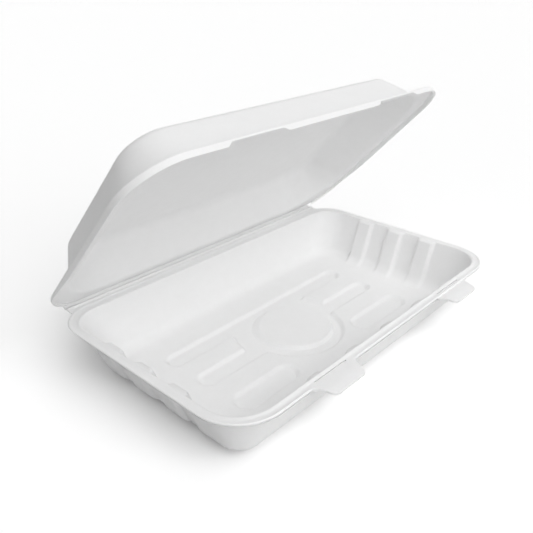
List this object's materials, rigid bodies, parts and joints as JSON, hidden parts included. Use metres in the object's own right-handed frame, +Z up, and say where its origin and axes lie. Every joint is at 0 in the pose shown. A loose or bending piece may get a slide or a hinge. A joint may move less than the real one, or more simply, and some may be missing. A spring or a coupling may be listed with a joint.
{
  "type": "bagasse clamshell container",
  "caption": "White moulded-fibre clamshell food container, lid ajar: fluted oblong tray with channelled floor, slotted front tabs and a domed lid on a back fold.",
  "frame": {"origin": "middle of the box round the open container, at the level of the ground under the tray's feet", "axes": "+X along the container's length and its fold, +Z up, -Y towards the tabs at the front"},
  "size_m": [0.2332, 0.1578, 0.1366],
  "materials": {
    "fibre": "satin"
  },
  "bodies": {
    "tray": {"tray": "fibre"},
    "lid": {"lid": "fibre"}
  },
  "joints": [
    {"name": "lid_fold", "type": "hinge", "parent": "tray", "child": "lid", "pos_m": [0, 0.0703, 0.0272], "axis": [-1, 0, 0], "range_deg": [-46.4, 125]}
  ]
}
